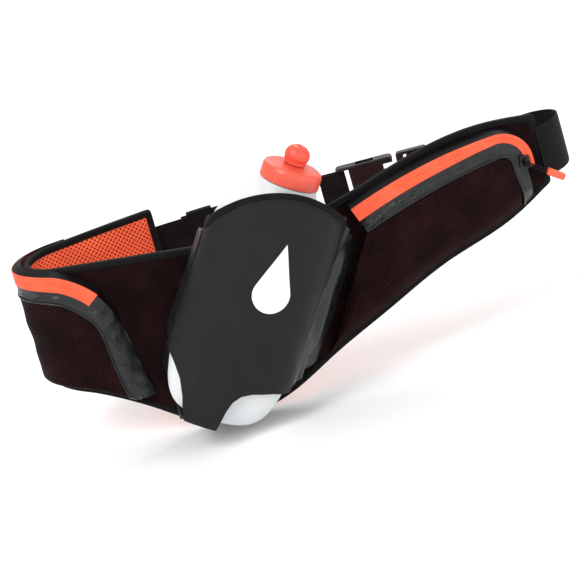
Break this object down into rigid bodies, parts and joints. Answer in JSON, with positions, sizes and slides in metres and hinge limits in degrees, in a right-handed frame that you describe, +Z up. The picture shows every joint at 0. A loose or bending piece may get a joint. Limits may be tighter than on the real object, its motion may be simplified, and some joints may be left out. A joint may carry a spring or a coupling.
{
  "type": "running waist pack",
  "caption": "Padded running waist pack with a tilted bottle holster, squeeze bottle, zipped side pockets and an elastic strap with a side-release buckle.",
  "frame": {"origin": "middle of the waist loop, near the strap's height", "axes": "+X to the right seen from the front and along the loop's length, -Y out of the holster's front, +Z up the wearer's back"},
  "size_m": [0.4218, 0.1724, 0.2036],
  "materials": {
    "lining_mesh": "coral spacer mesh",
    "foam_core": "closed-cell foam",
    "face_mesh": "black mesh over a dark red cloth",
    "binding_tape": "black folded tape",
    "gusset_nylon": "shiny black nylon",
    "pocket_mesh": "stretch mesh",
    "zip_tape": "coral coated tape",
    "zip_coil": "nylon coil",
    "holster_shell": "matt laminated cloth",
    "holster_nylon": "shiny crinkled nylon",
    "pad_foam": "moulded foam",
    "reflective_film": "reflective film",
    "webbing": "ribbed elastic webbing",
    "elastic_band": "ribbed elastic",
    "buckle_plastic": "moulded acetal",
    "slider_metal": "black enamel",
    "pull_cord": "braided cord",
    "pull_grip": "soft moulded grip",
    "bottle_plastic": "frosted translucent squeeze plastic",
    "cap_plastic": "coral moulded plastic",
    "nozzle_plastic": "soft coral valve",
    "gasket_rubber": "silicone"
  },
  "bodies": {
    "pack": {"lumbar_lining": "lining_mesh", "lumbar_foam": "foam_core", "lumbar_face": "face_mesh", "edge_binding": "binding_tape", "pocket_right_gusset": "gusset_nylon", "pocket_right_cover": "pocket_mesh", "pocket_right_strip": "gusset_nylon", "zip_right_tape": "zip_tape", "zip_right_coil": "zip_coil", "pocket_left_gusset": "gusset_nylon", "pocket_left_cover": "pocket_mesh", "pocket_left_strip": "gusset_nylon", "zip_left_tape": "zip_tape", "zip_left_coil": "zip_coil", "holster_front": "holster_shell", "holster_rim": "binding_tape", "holster_gusset_left": "holster_nylon", "holster_gusset_right": "holster_nylon", "holster_tongue": "holster_shell", "holster_pad": "pad_foam", "reflective_drop": "reflective_film", "strap_left": "webbing", "strap_right": "webbing", "strap_right_return": "webbing", "strap_loop_right": "webbing", "buckle_male": "buckle_plastic"},
    "bottle": {"bottle_body": "bottle_plastic"},
    "gasket": {"cap_gasket": "gasket_rubber"},
    "cap": {"bottle_cap": "cap_plastic"},
    "nozzle": {"bottle_nozzle": "nozzle_plastic"},
    "slider_right": {"zip_right_slider": "slider_metal"},
    "pull_right": {"zip_right_cord": "pull_cord", "zip_right_grip": "pull_grip"},
    "slider_left": {"zip_left_slider": "slider_metal"},
    "pull_left": {"zip_left_cord": "pull_cord", "zip_left_grip": "pull_grip"},
    "buckle_front": {"buckle_female": "buckle_plastic", "strap_loop_left": "webbing", "strap_tail": "webbing"},
    "arm_upper": {"release_arm_upper": "buckle_plastic"},
    "arm_lower": {"release_arm_lower": "buckle_plastic"},
    "glide": {"strap_glide": "buckle_plastic"},
    "keeper": {"strap_keeper": "elastic_band"}
  },
  "joints": [
    {"name": "bottle_lift", "type": "slide", "parent": "pack", "child": "bottle", "axis": [0.5402, 0, 0.8415], "range_m": [0, 0.2]},
    {"name": "cap_lift", "type": "slide", "parent": "bottle", "child": "gasket", "axis": [0.5402, 0, 0.8415], "range_m": [0, 0.0061]},
    {"name": "cap_turn", "type": "hinge", "parent": "gasket", "child": "cap", "pos_m": [0.00631, -0.0821, 0.06505], "axis": [0.5402, 0, 0.8415], "range_deg": [0, 540]},
    {"name": "nozzle_pull", "type": "slide", "parent": "cap", "child": "nozzle", "axis": [0.5402, 0, 0.8415], "range_m": [0, 0.005]},
    {"name": "zip_right_run", "type": "hinge", "parent": "pack", "child": "slider_right", "pos_m": [0.15209, -0.04857, 0.01283], "axis": [0.1903, -0.9817, -0.0054], "range_deg": [0, 97.5]},
    {"name": "zip_right_swing", "type": "hinge", "parent": "slider_right", "child": "pull_right", "pos_m": [0.1728, -0.04455, 0.01082], "axis": [0.2089, -0.9779, 0], "range_deg": [-95, 40]},
    {"name": "zip_left_run", "type": "hinge", "parent": "pack", "child": "slider_left", "pos_m": [-0.176, 0, 0.021], "axis": [0, 0, 1], "range_deg": [0, 118]},
    {"name": "zip_left_swing", "type": "hinge", "parent": "slider_left", "child": "pull_left", "pos_m": [-0.18551, 0.03813, 0.021], "axis": [-0.2419, 0.9703, 0], "range_deg": [-100, 100]},
    {"name": "buckle_release", "type": "hinge", "parent": "pack", "child": "buckle_front", "pos_m": [0, -0.7644, -0.005], "axis": [0, 0, 1], "range_deg": [0, 1.82], "deforming": ["strap_left"]},
    {"name": "arm_upper_squeeze", "type": "hinge", "parent": "pack", "child": "arm_upper", "pos_m": [0.08394, 0.04825, 0.002], "axis": [0.0771, 0.997, 0], "range_deg": [-10, 0]},
    {"name": "arm_lower_squeeze", "type": "hinge", "parent": "pack", "child": "arm_lower", "pos_m": [0.08394, 0.04825, -0.012], "axis": [0.0771, 0.997, 0], "range_deg": [0, 10]},
    {"name": "glide_adjust", "type": "slide", "parent": "pack", "child": "glide", "axis": [0.9726, -0.1641, 0.1648], "range_m": [-0.008, 0.012]},
    {"name": "keeper_slide", "type": "hinge", "parent": "pack", "child": "keeper", "pos_m": [0, -0.7644, -0.005], "axis": [0, 0, 1], "range_deg": [-2.5, 1.4]}
  ],
  "couplings": [
    {"joint": "cap_lift", "follows": "cap_turn", "m_per_rad": 0.00063662},
    {"joint": "arm_upper_squeeze", "follows": "buckle_release", "ratio": -4.9341},
    {"joint": "arm_lower_squeeze", "follows": "buckle_release", "ratio": 4.9341}
  ]
}
